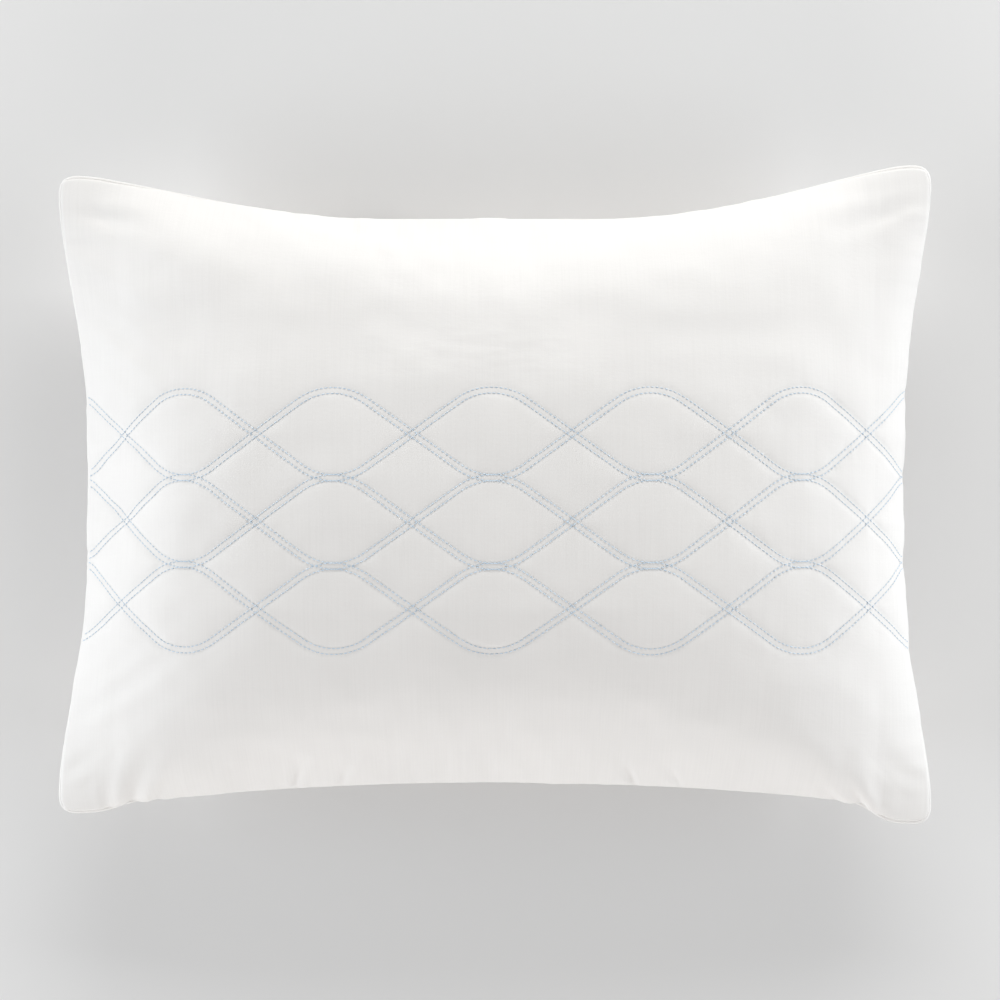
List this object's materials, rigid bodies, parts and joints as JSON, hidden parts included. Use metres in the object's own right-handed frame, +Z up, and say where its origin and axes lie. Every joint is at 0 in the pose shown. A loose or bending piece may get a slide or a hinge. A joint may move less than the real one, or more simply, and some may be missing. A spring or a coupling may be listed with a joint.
{
  "type": "bed pillow",
  "caption": "Bed pillow in a piped sateen cover with a quilted ogee band and an edge zip, over a fibre-filled inner pillow.",
  "frame": {"origin": "on the surface the pillow lies on, under the middle of its box", "axes": "+X along the pillow's length, +Y across it away from the zip edge, +Z up out of the quilted front panel"},
  "size_m": [0.657, 0.496, 0.1505],
  "materials": {
    "cover_sateen": "satin",
    "wadding": "matte",
    "scrim": "matte",
    "blue_thread": "satin",
    "cotton_cord": "matte",
    "white_thread": "satin",
    "ticking": "matte",
    "fibre": "matte",
    "zip_tape": "matte",
    "zip_nylon": "satin",
    "zip_metal": "gloss",
    "label_satin": "satin"
  },
  "bodies": {
    "pillow": {"front_panel": "cover_sateen", "quilt_wadding": "wadding", "quilt_backing": "scrim", "quilting_thread": "blue_thread", "back_panel": "cover_sateen", "piping_cover": "cover_sateen", "piping_cord": "cotton_cord", "seam_thread": "white_thread", "inner_casing_front": "ticking", "inner_casing_back": "ticking", "inner_casing_thread": "white_thread", "fibre_fill": "fibre", "zip_tape_upper": "zip_tape", "zip_tape_lower": "zip_tape", "zip_coil_upper": "zip_nylon", "zip_coil_lower": "zip_nylon", "zip_top_stops": "zip_metal", "zip_bottom_stop": "zip_metal", "care_label": "label_satin"},
    "slider": {"zip_slider": "zip_metal"},
    "pull": {"zip_pull": "zip_metal"}
  },
  "joints": [
    {"name": "zip_travel", "type": "hinge", "parent": "pillow", "child": "slider", "pos_m": [0, -2.7597, 0.05], "axis": [0, 0, 1], "range_deg": [0, 11.15]},
    {"name": "pull_swing", "type": "hinge", "parent": "slider", "child": "pull", "pos_m": [0.24773, -0.22176, 0.04762], "axis": [-0.0557, -0.5709, 0.8192], "range_deg": [0, 170]}
  ]
}
